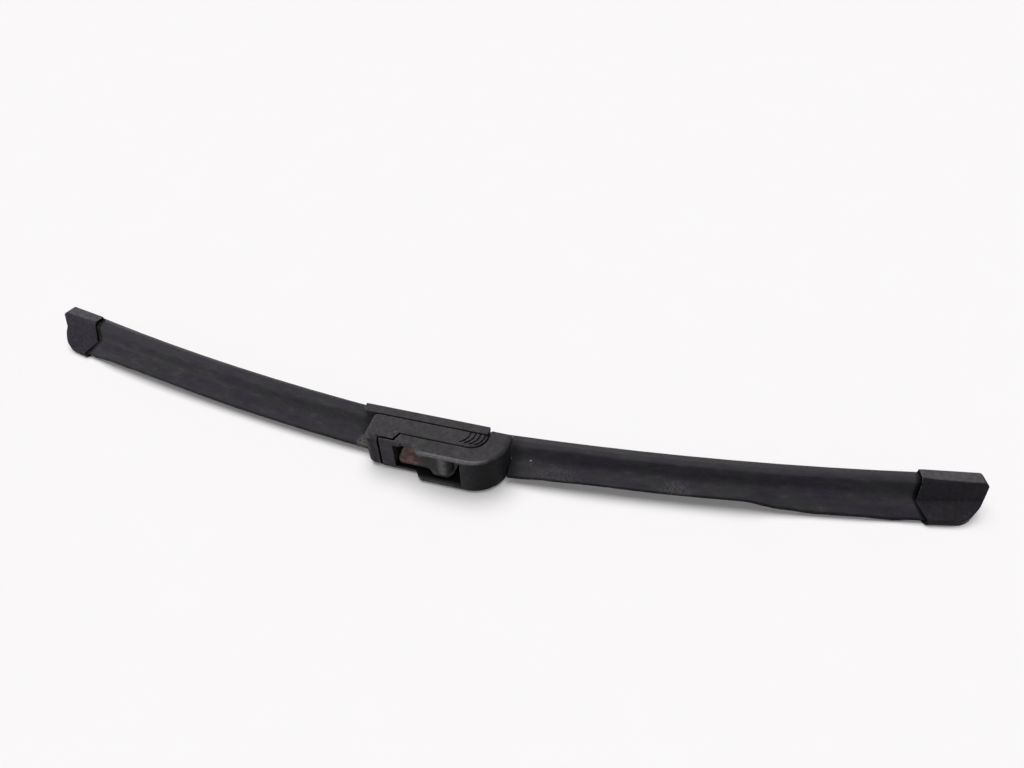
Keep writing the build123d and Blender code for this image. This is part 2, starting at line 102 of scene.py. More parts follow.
class Value:
    """A number in a shader that joins in Python sums."""

    def __init__(self, sheet: "Sheet", socket: bpy.types.NodeSocket) -> None:
        """Keeps an output socket and the sheet it is on."""
        self.sheet = sheet
        self.socket = socket

    def __add__(self, other: Feed) -> "Value":
        """Adds a number."""
        return self.sheet.math("ADD", self, other)

    def __radd__(self, other: Feed) -> "Value":
        """Adds to a number."""
        return self.sheet.math("ADD", other, self)

    def __sub__(self, other: Feed) -> "Value":
        """Takes a number away."""
        return self.sheet.math("SUBTRACT", self, other)

    def __rsub__(self, other: Feed) -> "Value":
        """Is taken away from a number."""
        return self.sheet.math("SUBTRACT", other, self)

    def __mul__(self, other: Feed) -> "Value":
        """Multiplies by a number."""
        return self.sheet.math("MULTIPLY", self, other)

    def __rmul__(self, other: Feed) -> "Value":
        """Multiplies a number."""
        return self.sheet.math("MULTIPLY", other, self)

    def __abs__(self) -> "Value":
        """Drops the sign."""
        return self.sheet.math("ABSOLUTE", self)

    def rise(self, low: float, high: float) -> "Value":
        """Goes smoothly from 0 at one value to 1 at another.

        Args:
            low: the value that gives 0.
            high: the value that gives 1, which may be the lower of the two.

        Returns:
            The share between 0 and 1.
        """
        mapped = self.sheet.node(
            "ShaderNodeMapRange",
            {"interpolation_type": "SMOOTHSTEP"},
            {"Value": self, "From Min": low, "From Max": high},
        )
        return Value(self.sheet, mapped.outputs["Result"])

    def swung(self, swing: float) -> "Value":
        """Turns a noise about its mean into one about 0, made larger by a swing."""
        return swing * (self - NOISE_MEAN)

    def lit_from(self, tone: float) -> "Value":
        """Gives a tone where this is 0 and full light where it is 1."""
        return tone + (1.0 - tone) * self

    def dimmed_to(self, tone: float) -> "Value":
        """Gives full light where this is 0 and a tone where it is 1."""
        return 1.0 - (1.0 - tone) * self


class Sheet:
    """The node sheet of a material or of the world."""

    def __init__(self, tree: bpy.types.NodeTree) -> None:
        """Starts from an empty sheet."""
        tree.nodes.clear()
        self.tree = tree

    def node(
        self, kind: str, settings: Optional[dict[str, Any]] = None, inputs: Optional[dict[Any, Feed]] = None
    ) -> bpy.types.Node:
        """Adds a node.

        Args:
            kind: Blender's name for the node's type.
            settings: properties to set before any socket.
            inputs: what each input socket holds, by name or number: a value, a colour or a link.

        Returns:
            The new node.
        """
        made = self.tree.nodes.new(kind)
        for key, value in (settings or {}).items():
            setattr(made, key, value)
        for key, feed in (inputs or {}).items():
            if isinstance(feed, Value):
                self.tree.links.new(feed.socket, made.inputs[key])
            elif isinstance(feed, bpy.types.NodeSocket):
                self.tree.links.new(feed, made.inputs[key])
            else:
                made.inputs[key].default_value = feed
        return made

    def math(self, operation: str, *feeds: Feed) -> Value:
        """Works out one sum from its terms."""
        made = self.node("ShaderNodeMath", {"operation": operation}, dict(enumerate(feeds)))
        return Value(self, made.outputs["Value"])

    def place(self) -> bpy.types.NodeSocket:
        """Gives the point being shaded, in the part's frame."""
        return self.node("ShaderNodeTexCoord").outputs["Object"]

    def axes(self, vector: bpy.types.NodeSocket) -> tuple[Value, Value, Value]:
        """Splits a vector into its three numbers."""
        split = self.node("ShaderNodeSeparateXYZ", inputs={"Vector": vector})
        return tuple(Value(self, split.outputs[axis]) for axis in "XYZ")

    def vector(self, x: Feed, y: Feed, z: Feed) -> bpy.types.NodeSocket:
        """Joins three numbers into a vector."""
        return self.node("ShaderNodeCombineXYZ", inputs={"X": x, "Y": y, "Z": z}).outputs["Vector"]

    def stretched(self, vector: bpy.types.NodeSocket, size: Triple) -> bpy.types.NodeSocket:
        """Divides a vector by a size along each axis, so that a pattern has that grain."""
        divided = self.node("ShaderNodeVectorMath", {"operation": "DIVIDE"}, {0: vector, 1: size})
        return divided.outputs["Vector"]

    def noise(self, vector: bpy.types.NodeSocket, pattern: Pattern) -> Value:
        """Gives soft noise in a pattern."""
        inputs = {"Vector": self.stretched(vector, pattern.size), "Scale": 1.0, "Detail": pattern.detail}
        return Value(self, self.node("ShaderNodeTexNoise", inputs=inputs).outputs["Fac"])

    def specks(self, vector: bpy.types.NodeSocket, kind: Specks) -> Value:
        """Scatters round specks.

        Args:
            vector: the place being shaded.
            kind: how the specks are spread and how large they are.

        Returns:
            1 in a speck and 0 around it.
        """
        inputs = {"Vector": self.stretched(vector, (kind.spacing,) * 3), "Scale": 1.0}
        cells = self.node("ShaderNodeTexVoronoi", inputs=inputs)
        chance, size, _ = self.axes(cells.outputs["Color"])
        reach = size * (kind.radius / kind.spacing)
        inside = self.math("LESS_THAN", Value(self, cells.outputs["Distance"]), reach)
        return inside * self.math("LESS_THAN", chance, kind.share)

    def blend(self, share: Feed, first: Feed, second: Feed) -> bpy.types.NodeSocket:
        """Goes from one colour to another.

        Args:
            share: how far to go, from 0 to 1.
            first: the colour at 0, fixed or from a node.
            second: the colour at 1, fixed or from a node.

        Returns:
            The blended colour.
        """
        first = first if isinstance(first, bpy.types.NodeSocket) else (*first, 1.0)
        second = second if isinstance(second, bpy.types.NodeSocket) else (*second, 1.0)
        inputs = {MIX_SHARE: share, MIX_FIRST: first, MIX_SECOND: second}
        return self.node("ShaderNodeMix", {"data_type": "RGBA"}, inputs).outputs[MIX_RESULT]

    def dimmed(self, colour: bpy.types.NodeSocket, tone: Value) -> bpy.types.NodeSocket:
        """Multiplies a colour by a tone."""
        inputs = {"Vector": colour, "Scale": tone}
        return self.node("ShaderNodeVectorMath", {"operation": "SCALE"}, inputs).outputs["Vector"]

    def dot(self, first: Feed, second: Feed) -> Value:
        """Gives the dot product of two vectors."""
        made = self.node("ShaderNodeVectorMath", {"operation": "DOT_PRODUCT"}, {0: first, 1: second})
        return Value(self, made.outputs["Value"])

    def normal(self) -> bpy.types.NodeSocket:
        """Gives the surface's own normal."""
        return self.node("ShaderNodeNewGeometry").outputs["Normal"]

    def eased_normal(self, radius: float) -> bpy.types.NodeSocket:
        """Gives the surface's normal with the edges rounded over."""
        return self.node("ShaderNodeBevel", {"samples": EDGE_SAMPLES}, {"Radius": radius}).outputs["Normal"]

    def edge(self, eased_normal: bpy.types.NodeSocket) -> Value:
        """Gives how far a point is rounded over, from 0 on a face to about 0.3 on a square edge."""
        return 1.0 - self.dot(eased_normal, self.normal())

    def facing(self, direction: Triple) -> Value:
        """Gives the cosine between the surface's normal and a direction of length 1."""
        return self.dot(self.normal(), direction)

    def openness(self, reach: float, own: bool = False) -> Value:
        """Tells open faces from gaps and pockets.

        Args:
            reach: how far away a wall still counts.
            own: whether only the piece's own walls count.

        Returns:
            1 on an open face, and less where walls are near.
        """
        settings = {"samples": GAP_SAMPLES, "only_local": own}
        made = self.node("ShaderNodeAmbientOcclusion", settings, {"Distance": reach})
        return Value(self, made.outputs["AO"])

    def bump(
        self, height: Value, depth: float, normal: Optional[bpy.types.NodeSocket] = None
    ) -> bpy.types.NodeSocket:
        """Raises the surface.

        Args:
            height: the height at each point, between 0 and 1.
            depth: the height in metres that 1 stands for.
            normal: the normal to start from, or None for the surface's own.

        Returns:
            The normal of the raised surface.
        """
        inputs: dict[str, Feed] = {"Height": height, "Distance": depth, "Strength": 1.0}
        if normal is not None:
            inputs["Normal"] = normal
        return self.node("ShaderNodeBump", inputs=inputs).outputs["Normal"]

    def surface(self, inputs: dict[str, Feed]) -> None:
        """Ends the sheet in a surface shader with these inputs."""
        shader = self.node("ShaderNodeBsdfPrincipled", inputs=inputs)
        self.node("ShaderNodeOutputMaterial", inputs={"Surface": shader.outputs["BSDF"]})


def new_material(name: str) -> tuple[bpy.types.Material, Sheet]:
    """Starts a material.

    Args:
        name: the material's name.

    Returns:
        The material and its empty sheet.
    """
    material = bpy.data.materials.new(name)
    material.use_nodes = True
    return material, Sheet(material.node_tree)


@dataclass(frozen=True)
class Arm:
    """One arm of the bow: it leaves the connector's bend on a heading and follows a large circle."""

    side: Side
    radius: float
    bend_tip: tuple[float, float] = (28.484 * MM, 0.698 * MM)
    heading: float = math.radians(4.0)

    @property
    def centre(self) -> tuple[float, float]:
        """Gives the circle's centre in x and y."""
        x = self.bend_tip[0] - self.radius * math.sin(self.heading)
        return self.side.value * x, self.bend_tip[1] + self.radius * math.cos(self.heading)

    def ridge_height(self, x: float, y: float) -> float:
        """Gives how far a point lies from the rails towards the ridge."""
        return math.hypot(x - self.centre[0], y - self.centre[1]) - self.radius

    def ridge_way(self, x: float, y: float) -> Vector:
        """Gives the direction towards the ridge at a point, as a vector of length 1."""
        return Vector((x - self.centre[0], y - self.centre[1], 0.0)).normalized()

    def tip_way(self, x: float, y: float) -> Vector:
        """Gives the direction along the arm towards its tip at a point, as a vector of length 1."""
        ridge = self.ridge_way(x, y)
        return Vector((-ridge.y, ridge.x, 0.0)) * self.side.value

    def shaded(self, sheet: Sheet) -> tuple[bpy.types.NodeSocket, Value, Value, Value]:
        """Follows the arm in a shader.

        Args:
            sheet: the sheet of the material that needs it.

        Returns:
            The point as (along the arm, towards the ridge, up), then its x, its ridge height and its z.
        """
        x, y, z = sheet.axes(sheet.place())
        away_x = x - self.centre[0]
        away_y = y - self.centre[1]
        distance = sheet.math("SQRT", away_x * away_x + away_y * away_y)
        along = sheet.math("ARCTAN2", away_x, 0.0 - away_y) * self.radius
        ridge = distance - self.radius
        return sheet.vector(along, ridge, z), x, ridge, z


@dataclass(frozen=True)
class Scuff:
    """A dusty spot on an arm, by its place in x and z, its half sizes there and its strength."""

    x: float
    z: float
    half_length: float
    half_height: float
    strength: float
    core: float = 0.1

    def mask(self, x: Value, z: Value) -> Value:
        """Finds the spot.

        Args:
            x: the place along the blade.
            z: the height over the table.

        Returns:
            The spot's strength in its core, and 0 beyond its edge.
        """
        across = (x - self.x) * (1.0 / self.half_length)
        up = (z - self.z) * (1.0 / self.half_height)
        return (across * across + up * up).rise(1.0, self.core) * self.strength


@dataclass(frozen=True)
class SpoilerRubber:
    """Weathered spoiler rubber: cloudy, dusty, dark at the fin's edge, pale along the crest from rubbing and
    from a painted highlight, with a painted-light tone on the wall and painted shadow at the cap's mouth and
    beside the connector.
    """

    name: str
    arm: Arm
    wall_light_tone: float
    crest_share: float
    start: float
    mouth: float
    mouth_shadow_width: float
    scuffs: tuple[Scuff, ...]
    cool: Colour = (0.0295, 0.0265, 0.0350)
    warm: Colour = (0.0320, 0.0305, 0.0330)
    rubbed_highlight: Colour = (0.110, 0.105, 0.108)
    dust: Colour = (0.330, 0.320, 0.310)
    cloud: Pattern = Pattern((22 * MM, 5 * MM, 5 * MM), 3.0)
    tint: Pattern = Pattern((14 * MM, 6 * MM, 6 * MM))
    mottle: Pattern = Pattern((6 * MM, 2.6 * MM, 2.6 * MM), 4.0)
    grain: Pattern = Pattern.even(0.9 * MM)
    streak: Pattern = Pattern((40 * MM, 0.45 * MM, 0.45 * MM))
    dots: Pattern = Pattern((0.75 * MM, 0.5 * MM, 0.5 * MM))
    specks: Specks = Specks(7.3 * MM, 0.22, 0.36 * MM)
    base_tone: float = 0.94
    cloud_swing: float = 0.44
    mottle_swing: float = 0.70
    grain_swing: float = 0.50
    streak_swing: float = 0.30
    tint_span: Span = (0.35, 0.65)
    dot_span: Span = (0.46, 0.62)
    scuff_span: Span = (0.38, 0.58)
    film_span: Span = (0.56, 0.72)
    film_share: float = 0.025
    speck_share: float = 0.7
    rubbed_highlight_share: float = 0.25
    crest_height: float = 15.6 * MM
    crest_run: float = 1.5 * MM
    rim_width: float = 1.4 * MM
    rim_end: float = -2.0 * MM
    wall_foot: float = 8.6 * MM
    wall_run: float = 1.8 * MM
    fin_reach: float = 11.9 * MM
    edge_width: float = 0.9 * MM
    edge_core: float = 1 / 3
    edge_tone: float = 0.45
    mouth_lean: float = 0.21
    fin_from: float = 4.9 * MM
    fin_lean: float = 0.47
    mouth_shadow_core: float = 1 / 3
    mouth_shadow_tone: float = 0.10
    start_run: float = 6.0 * MM
    start_shadow_tone: float = 0.45
    roughness: float = 0.66
    roughness_swing: float = 0.20
    polish: float = 0.10
    coat: float = 0.35
    coat_roughness: float = 0.35
    specular: float = 0.06
    grain_relief: float = 0.6
    streak_relief: float = 0.4
    relief_depth: float = 0.06 * MM
    ease: float = 1.5 * MM

    def shade(self, sheet: Sheet, x: Value, ridge: Value, begun: Value) -> Value:
        """Paints shadow on the rubber along the cap's leaning mouth and at its start beside the connector.

        Args:
            sheet: the material's sheet.
            x: the place along the blade.
            ridge: the height towards the ridge.
            begun: 0 at the spoiler's start and 1 clear of the connector.

        Returns:
            The tone, which is 1 in the open.
        """
        on_fin = sheet.math("MAXIMUM", ridge - self.fin_from, 0.0)
        clear = self.mouth + self.mouth_lean * ridge + self.fin_lean * on_fin - abs(x)
        # Painted shadow: dark along the cap's mouth and at the start by the connector.
        mouth_shadow = clear.rise(self.mouth_shadow_width * self.mouth_shadow_core, self.mouth_shadow_width)
        return mouth_shadow.lit_from(self.mouth_shadow_tone) * begun.lit_from(self.start_shadow_tone)

    def build(self) -> bpy.types.Material:
        """Mixes the finish.

        Returns:
            The new material.
        """
        material, sheet = new_material(self.name)
        place, x, ridge, z = self.arm.shaded(sheet)
        cloud = sheet.noise(place, self.cloud)
        tint = sheet.noise(place, self.tint).rise(*self.tint_span)
        mottle = sheet.noise(place, self.mottle)
        grain = sheet.noise(place, self.grain)
        streak = sheet.noise(place, self.streak)
        dots = sheet.noise(place, self.dots).rise(*self.dot_span)
        crest = z.rise(self.crest_height - self.crest_run, self.crest_height)
        # The wall tone is painted light: it lightens the wall for the light that falls on that side.
        wall = z.rise(self.wall_foot, self.wall_foot + self.wall_run) * (1.0 - crest)
        rim = ridge.rise(self.rim_end + self.rim_width, self.rim_end)
        # The crest's paleness is partly rubbed wear and partly a painted highlight.
        rubbed_highlight = crest * (rim * dots).lit_from(self.crest_share)
        edge = (self.fin_reach - ridge).rise(self.edge_width, self.edge_width * self.edge_core)
        begun = (abs(x) - self.start).rise(0.0, self.start_run)
        specks = sheet.specks(place, self.specks) * (1.0 - crest) * begun
        scuffed = sum(scuff.mask(x, z) for scuff in self.scuffs) * grain.rise(*self.scuff_span)
        film = self.film_share * mottle.rise(*self.film_span) * (1.0 - crest)
        tone = self.base_tone + cloud.swung(self.cloud_swing) + mottle.swung(self.mottle_swing)
        tone = tone + grain.swung(self.grain_swing) + streak.swung(self.streak_swing)
        tone = tone * wall.dimmed_to(self.wall_light_tone) * self.shade(sheet, x, ridge, begun)
        colour = sheet.dimmed(sheet.blend(tint, self.cool, self.warm), tone)
        colour = sheet.blend(rubbed_highlight * self.rubbed_highlight_share, colour, self.rubbed_highlight)
        colour = sheet.dimmed(colour, edge.dimmed_to(self.edge_tone))
        colour = sheet.blend(specks * self.speck_share + scuffed + film, colour, self.dust)
        relief = grain * self.grain_relief + streak * self.streak_relief
        sheet.surface(
            {
                "Base Color": colour,
                "Roughness": self.roughness + grain.swung(self.roughness_swing) - rubbed_highlight * self.polish,
                "Coat Weight": rubbed_highlight * self.coat,
                "Coat Roughness": self.coat_roughness,
                "Specular IOR Level": self.specular,
                "Normal": sheet.bump(relief, self.relief_depth, sheet.eased_normal(self.ease)),
            }
        )
        return material


@dataclass(frozen=True)
class MouldedPlastic:
    """Grained moulded plastic with eased edges that are worn pale, fine scratches and a little dust, with
    painted shade in gaps, pockets, towards set ends and on an opening's floor, and rubbed faces paled partly
    by wear and partly by a painted highlight under a glossier coat.
    """

    name: str
    colour: Colour
    faded: Colour
    worn: Colour
    dust: Colour = (0.30, 0.29, 0.28)
    cloud: Pattern = Pattern.even(9 * MM, 3.0)
    patch: Pattern = Pattern.even(1.6 * MM, 3.0)
    grain: Pattern = Pattern.even(0.35 * MM)
    tint: Pattern = Pattern((5 * MM, 3 * MM, 3 * MM), 3.0)
    scratch: Pattern = Pattern((7 * MM, 0.9 * MM, 2.2 * MM), 1.0)
    specks: Specks = Specks(5.3 * MM, 0.12, 0.26 * MM)
    cloud_swing: float = 0.5
    patch_swing: float = 1.2
    grain_swing: float = 0.9
    tint_span: Span = (0.40, 0.60)
    scratch_width: float = 0.012
    scratch_span: Span = (0.52, 0.66)
    scratch_share: float = 0.18
    worn_span: Span = (0.02, 0.16)
    worn_patch: Span = (0.38, 0.60)
    worn_share: float = 0.55
    speck_share: float = 0.6
    gap_reach: float = 2.2 * MM
    gap_span: Span = (0.50, 0.94)
    gap_shade_tone: float = 0.12
    pocket_reach: float = 9.0 * MM
    pocket_span: Span = (0.45, 0.90)
    pocket_shade_tone: float = 0.10
    dark_after: float = BEYOND
    after_run: float = 12.0 * MM
    after_tone: float = 0.55
    dark_before: float = -BEYOND
    before_run: float = 4.0 * MM
    before_tone: float = 0.55
    side_span: Span = (0.6, 0.2)
    floor_below: float = -BEYOND
    floor_fade: float = 0.5 * MM
    floor_front: float = -BEYOND
    floor_run: float = 2.5 * MM
    floor_span: Span = (0.6, 0.9)
    floor_tone: float = 0.15
    rubbed_highlight_way: Triple = (0.0, -0.60, 0.80)
    rubbed_highlight_span: Span = (0.88, 0.985)
    rubbed_highlight_least: float = 0.55
    rubbed_highlight_above: float = 12.0 * MM
    rubbed_highlight_above_run: float = 1.0 * MM
    rubbed_highlight_from: float = -BEYOND
    rubbed_highlight_from_run: float = 4.0 * MM
    rubbed_highlight_front: float = BEYOND
    rubbed_highlight_front_run: float = 2.0 * MM
    rubbed_highlight_share: float = 0.15
    gloss: float = 0.5
    gloss_span: Span = (0.80, 1.0)
    gloss_roughness: float = 0.35
    roughness: float = 0.50
    roughness_swing: float = 0.22
    polish: float = 0.10
    specular: float = 0.05
    grain_depth: float = 0.03 * MM
    ease: float = 0.45 * MM
    roll: float = 0.45 * MM

    def rubbed_highlight(self, sheet: Sheet, patch: Value) -> Value:
        """Finds the faces that are rubbed and carry a painted highlight, by their direction and their place.

        Args:
            sheet: the material's sheet.
            patch: the noise that makes the rubbing patchy.

        Returns:
            Up to 1 on those faces, and 0 elsewhere.
        """
        x, y, z = sheet.axes(sheet.place())
        turned = sheet.facing(self.rubbed_highlight_way).rise(*self.rubbed_highlight_span)
        above = z.rise(self.rubbed_highlight_above, self.rubbed_highlight_above + self.rubbed_highlight_above_run)
        along = x.rise(self.rubbed_highlight_from, self.rubbed_highlight_from + self.rubbed_highlight_from_run)
        front = y.rise(self.rubbed_highlight_front, self.rubbed_highlight_front - self.rubbed_highlight_front_run)
        return turned * patch.lit_from(self.rubbed_highlight_least) * above * along * front

    def shade(self, sheet: Sheet) -> Value:
        """Paints shade on the walls towards the piece's ends and on the floor inside its opening.

        Args:
            sheet: the material's sheet.

        Returns:
            The tone, which is 1 in the open.
        """
        x, y, z = sheet.axes(sheet.place())
        crown = sheet.facing(CROWN_WAY)
        after = x.rise(self.dark_after, self.dark_after + self.after_run) * (1.0 - self.after_tone)
        before = x.rise(self.dark_before, self.dark_before - self.before_run) * (1.0 - self.before_tone)
        ends = 1.0 - (after + before) * crown.rise(*self.side_span)
        floor = crown.rise(*self.floor_span) * z.rise(self.floor_below, self.floor_below - self.floor_fade)
        floor = floor * y.rise(self.floor_front, self.floor_front + self.floor_run)
        return ends * floor.dimmed_to(self.floor_tone)

    def build(self) -> bpy.types.Material:
        """Mixes the finish.

        Returns:
            The new material.
        """
        material, sheet = new_material(self.name)
        place = sheet.place()
        cloud = sheet.noise(place, self.cloud)
        patch = sheet.noise(place, self.patch)
        grain = sheet.noise(place, self.grain)
        tint = sheet.noise(place, self.tint).rise(*self.tint_span)
        scratch = 1.0 - abs(sheet.noise(place, self.scratch) - NOISE_MEAN).rise(0.0, self.scratch_width)
        scratch = scratch * cloud.rise(*self.scratch_span)
        worn = sheet.edge(sheet.eased_normal(self.ease)).rise(*self.worn_span)
        worn = worn * patch.rise(*self.worn_patch)
        rubbed_highlight = self.rubbed_highlight(sheet, patch)
        specks = sheet.specks(place, self.specks)
        # Painted shade: gaps and pockets are darkened by how closed in they are.
        gap_shade = sheet.openness(self.gap_reach).rise(*self.gap_span)
        pocket_shade = sheet.openness(self.pocket_reach, True).rise(*self.pocket_span)
        tone = 1.0 + cloud.swung(self.cloud_swing) + patch.swung(self.patch_swing)
        tone = tone + grain.swung(self.grain_swing)
        tone = tone * gap_shade.lit_from(self.gap_shade_tone) * pocket_shade.lit_from(self.pocket_shade_tone) * self.shade(sheet)
        # The rubbed faces' paleness is partly wear and partly a painted highlight.
        pale = worn * self.worn_share + scratch * self.scratch_share + rubbed_highlight * self.rubbed_highlight_share
        colour = sheet.blend(pale, sheet.blend(tint, self.colour, self.faded), self.worn)
        colour = sheet.blend(specks * self.speck_share, sheet.dimmed(colour, tone), self.dust)
        sheet.surface(
            {
                "Base Color": colour,
                "Roughness": self.roughness + grain.swung(self.roughness_swing) - worn * self.polish,
                "Coat Weight": rubbed_highlight * self.gloss * gap_shade.rise(*self.gloss_span),
                "Coat Roughness": self.gloss_roughness,
                "Specular IOR Level": self.specular,
                "Normal": sheet.bump(grain, self.grain_depth, sheet.eased_normal(self.roll)),
            }
        )
        return material


@dataclass(frozen=True)
class RustedSteel:
    """Pressed sheet steel under a rough coat of rust, with scale, dark edges, a dulled end, and painted
    shade on the faces that don't face up.
    """

    name: str
    rust: Colour = (0.440, 0.295, 0.290)
    scale: Colour = (0.245, 0.160, 0.150)
    dulled: Colour = (0.160, 0.160, 0.155)
    edge: Colour = (0.050, 0.042, 0.038)
    patch: Pattern = Pattern.even(2.2 * MM, 4.0)
    pits: Pattern = Pattern.even(0.5 * MM, 3.0)
    pit_swing: float = 1.0
    scale_span: Span = (0.36, 0.64)
    edge_span: Span = (0.02, 0.12)
    side_shade_span: Span = (0.7, 0.3)
    side_shade_tone: float = 0.25
    dulled_from: float = -9.0 * MM
    dulled_run: float = 5.0 * MM
    dulled_drift: float = 8.0 * MM
    metallic: float = 0.15
    roughness: float = 0.75
    roughness_swing: float = 0.20
    specular: float = 0.1
    pit_relief: float = 0.7
    patch_relief: float = 0.3
    relief_depth: float = 0.15 * MM
    ease: float = 0.5 * MM

    def build(self) -> bpy.types.Material:
        """Mixes the finish.

        Returns:
            The new material.
        """
        material, sheet = new_material(self.name)
        place = sheet.place()
        x, _, _ = sheet.axes(place)
        eased_normal = sheet.eased_normal(self.ease)
        patch = sheet.noise(place, self.patch)
        pits = sheet.noise(place, self.pits)
        edge = sheet.edge(eased_normal).rise(*self.edge_span)
        # Painted shade: faces that don't face up are darkened by their direction.
        rim = sheet.facing(CROWN_WAY).rise(*self.side_shade_span)
        drifted = x + patch.swung(self.dulled_drift)
        dulled = drifted.rise(self.dulled_from, self.dulled_from + self.dulled_run)
        tone = (1.0 + pits.swung(self.pit_swing)) * rim.dimmed_to(self.side_shade_tone)
        colour = sheet.blend(patch.rise(*self.scale_span), self.rust, self.scale)
        colour = sheet.dimmed(sheet.blend(dulled, colour, self.dulled), tone)
        relief = pits * self.pit_relief + patch * self.patch_relief
        sheet.surface(
            {
                "Base Color": sheet.blend(edge, colour, self.edge),
                "Metallic": self.metallic,
                "Roughness": self.roughness + pits.swung(self.roughness_swing),
                "Specular IOR Level": self.specular,
                "Normal": sheet.bump(relief, self.relief_depth, eased_normal),
            }
        )
        return material


@dataclass(frozen=True)
class DrawnSteel:
    """Steel with fine lines along the blade, dulled by handling and touched by rust."""

    name: str
    colour: Colour
    rust: Colour = (0.16, 0.09, 0.06)
    lines: Pattern = Pattern((25 * MM, 0.12 * MM, 0.12 * MM))
    stain: Pattern = Pattern.even(4 * MM, 4.0)
    line_swing: float = 0.6
    stain_span: Span = (0.56, 0.72)
    stain_share: float = 0.7
    stain_dulling: float = 0.8
    roughness: float = 0.38
    roughness_swing: float = 0.25
    stain_roughness: float = 0.35
    line_depth: float = 0.02 * MM

    def build(self) -> bpy.types.Material:
        """Mixes the finish.

        Returns:
            The new material.
        """
        material, sheet = new_material(self.name)
        place = sheet.place()
        lines = sheet.noise(place, self.lines)
        stain = sheet.noise(place, self.stain).rise(*self.stain_span)
        colour = sheet.blend(stain * self.stain_share, self.colour, self.rust)
        roughness = self.roughness + lines.swung(self.roughness_swing) + stain * self.stain_roughness
        sheet.surface(
            {
                "Base Color": sheet.dimmed(colour, 1.0 + lines.swung(self.line_swing)),
                "Metallic": 1.0 - stain * self.stain_dulling,
                "Roughness": roughness,
                "Normal": sheet.bump(lines, self.line_depth),
            }
        )
        return material


@dataclass(frozen=True)
class LipRubber:
    """Smooth wiping rubber with a graphite bloom and fine lines along its length."""

    name: str
    colour: Colour = (0.030, 0.030, 0.034)
    bloom: Colour = (0.075, 0.075, 0.080)
    lines: Pattern = Pattern((60 * MM, 2 * MM, 0.3 * MM))
    film: Pattern = Pattern((12 * MM, 4 * MM, 2 * MM), 4.0)
    film_span: Span = (0.42, 0.70)
    roughness: float = 0.48
    roughness_swing: float = 0.25
    film_roughness: float = 0.15
    specular: float = 0.25
    line_depth: float = 0.03 * MM

    def build(self) -> bpy.types.Material:
        """Mixes the finish.

        Returns:
            The new material.
        """
        material, sheet = new_material(self.name)
        place = sheet.place()
        lines = sheet.noise(place, self.lines)
        film = sheet.noise(place, self.film).rise(*self.film_span)
        sheet.surface(
            {
                "Base Color": sheet.blend(film, self.colour, self.bloom),
                "Roughness": self.roughness + lines.swung(self.roughness_swing) + film * self.film_roughness,
                "Specular IOR Level": self.specular,
                "Normal": sheet.bump(lines, self.line_depth),
            }
        )
        return material


def dress(node: str, material: bpy.types.Material) -> None:
    """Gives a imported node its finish.

    Args:
        node: the node's name.
        material: the finish.
    """
    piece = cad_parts[node]
    piece.data.materials.clear()
    piece.data.materials.append(material)
    LOG.info("%s: %s", node, material.name)


def eased(share: float) -> float:
    """Turns a share, held between 0 and 1, into a smooth one."""
    held = min(max(share, 0.0), 1.0)
    return held * held * (3.0 - 2.0 * held)


@dataclass(frozen=True)
class FinLine:
    """How far a worn fin's edge stands off its moulded place, as (x, lift) points along the blade."""

    points: tuple[tuple[float, float], ...]

    def at(self, x: float) -> float:
        """Finds the lift, which eases from point to point.

        Args:
            x: the place along the blade.

        Returns:
            The lift there, in metres.
        """
        start, lift = self.points[0]
        for end, next_lift in self.points[1:]:
            if x < end:
                share = max(x - start, 0.0) / (end - start)
                return lift + (next_lift - lift) * (0.5 - 0.5 * math.cos(math.pi * share))
            start, lift = end, next_lift
        return lift


@dataclass(frozen=True)
class CrestSet:
    """How a crest has settled, growing from its foot to its top: down and, towards the ridge, back."""

    foot: float
    top: float
    back: float
    down: float
    front: float = -2.0 * MM
    front_run: float = 4.0 * MM

    def moves(self, ridge: float, z: float) -> tuple[float, float]:
        """Gives how far a point has gone as the crest settled.

        Args:
            ridge: the point's height towards the ridge.
            z: the point's height over the table.

        Returns:
            The moves towards the ridge and up, which are 0 below the crest's foot.
        """
        crest = eased((z - self.foot) / (self.top - self.foot))
        front = eased((ridge - self.front) / self.front_run)
        return -self.back * crest * front, -self.down * crest


@dataclass
class WornPiece:
    """A piece of an arm that has taken a set: a copy of its node, with the crest settled back and down."""

    node: str
    slot: str
    arm: Arm
    finish: Union[SpoilerRubber, MouldedPlastic]
    crest: CrestSet

    def moved(self, x: float, ridge: float, z: float) -> Triple:
        """Gives a point's whole move towards the arm's tip, towards the ridge, and up."""
        return 0.0, *self.crest.moves(ridge, z)

    def cut(self, shape: bmesh.types.BMesh) -> None:
        """Cuts the copy where its moves need more points, which a plain piece doesn't."""

    def build(self) -> bpy.types.Object:
        """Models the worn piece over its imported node.

        Returns:
            The new piece, which replaces the node.
        """
        shape = bmesh.new()
        shape.from_mesh(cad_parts[self.node].data)
        bmesh.ops.remove_doubles(shape, verts=shape.verts[:], dist=MERGE_DISTANCE)
        self.cut(shape)
        for vert in shape.verts:
            x, y, z = vert.co
            along, out, up = self.moved(x, self.arm.ridge_height(x, y), z)
            level = self.arm.tip_way(x, y) * along + self.arm.ridge_way(x, y) * out
            vert.co += level + Vector((0.0, 0.0, up))
        bmesh.ops.recalc_face_normals(shape, faces=shape.faces[:])
        for face in shape.faces:
            face.smooth = True
        mesh = bpy.data.meshes.new(f"{self.node}_worn")
        shape.to_mesh(mesh)
        shape.free()
        mesh.set_sharp_from_angle(angle=SMOOTH_ANGLE)
        mesh.materials.append(self.finish.build())
        piece = bpy.data.objects.new(mesh.name, mesh)
        bpy.context.scene.collection.objects.link(piece)
        piece.modifiers.new("even_normals", "WEIGHTED_NORMAL").keep_sharp = True
        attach(piece, BODY)
        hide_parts(self.node)
        LOG.info("%s: %d faces", piece.name, len(mesh.polygons))
        return piece


